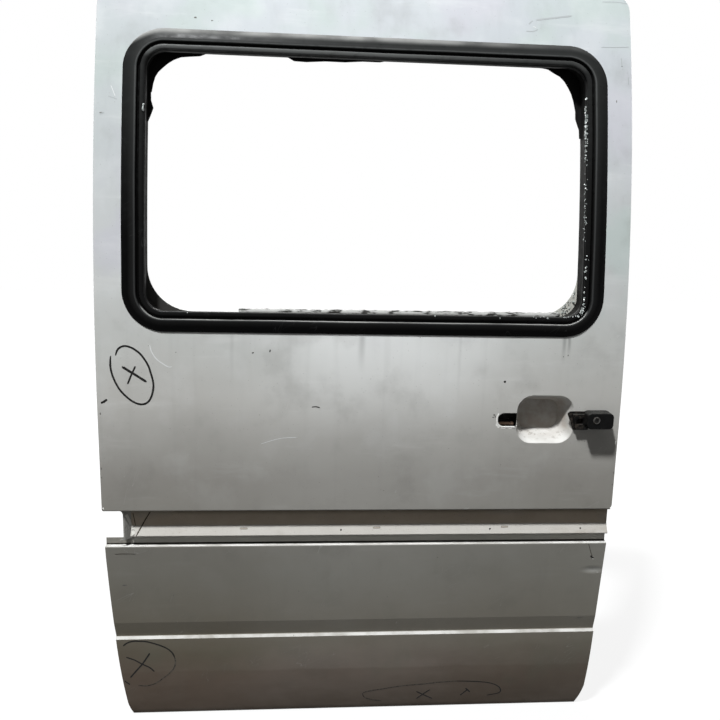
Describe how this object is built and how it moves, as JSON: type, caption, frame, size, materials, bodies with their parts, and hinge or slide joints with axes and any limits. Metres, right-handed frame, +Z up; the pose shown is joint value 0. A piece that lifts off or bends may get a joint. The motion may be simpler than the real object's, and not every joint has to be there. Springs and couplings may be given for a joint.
{
  "type": "van sliding side door",
  "caption": "Sliding side door of a panel van with a rubber-framed window opening, pressed handle bowl, keyed lock housing and belt channel; glass, pull grip and rub strip missing.",
  "frame": {"origin": "centre of the flat face that takes the lower roller arm, on the inner side near the front lower corner", "axes": "+X to the vehicle's front, +Y inward through the door, +Z up; the outside faces -Y"},
  "size_m": [1.13, 0.2128, 1.675],
  "materials": {
    "silver_paint": "silver paint, dusty and scratched",
    "pale_primer": "dusty pale paint",
    "rubber": "weathered black rubber",
    "inner_paint": "thin silver overspray",
    "dark_steel": "black dip coat",
    "black_plastic": "grained black moulding",
    "plated_steel": "zinc plated"
  },
  "bodies": {
    "door": {"upper_outer_panel": "silver_paint", "lower_outer_panel": "silver_paint", "belt_channel": "pale_primer", "notch_jamb": "pale_primer", "window_seal": "rubber", "window_reveal": "inner_paint", "inner_upper_panel": "inner_paint", "inner_lower_panel": "inner_paint", "rear_edge_wall": "inner_paint", "front_edge_wall": "inner_paint", "top_edge_wall": "inner_paint", "sill_wall": "inner_paint", "lower_arm_pad": "inner_paint", "upper_arm_bracket": "inner_paint", "centre_arm_plate": "inner_paint", "belt_stiffener": "dark_steel", "impact_beam": "dark_steel", "pivot_plate": "dark_steel", "lock_housing": "black_plastic", "release_cup": "black_plastic", "release_lever": "black_plastic", "lock_ring": "plated_steel", "front_latch": "plated_steel", "rear_latch": "plated_steel", "front_latch_claw": "plated_steel", "rear_latch_claw": "plated_steel"},
    "key_plug": {"lock_cylinder": "plated_steel"}
  },
  "joints": [
    {"name": "key_turn", "type": "hinge", "parent": "door", "child": "key_plug", "pos_m": [0.0862, -0.134, 0.6625], "axis": [0, -1, 0], "range_deg": [-80, 80]}
  ]
}
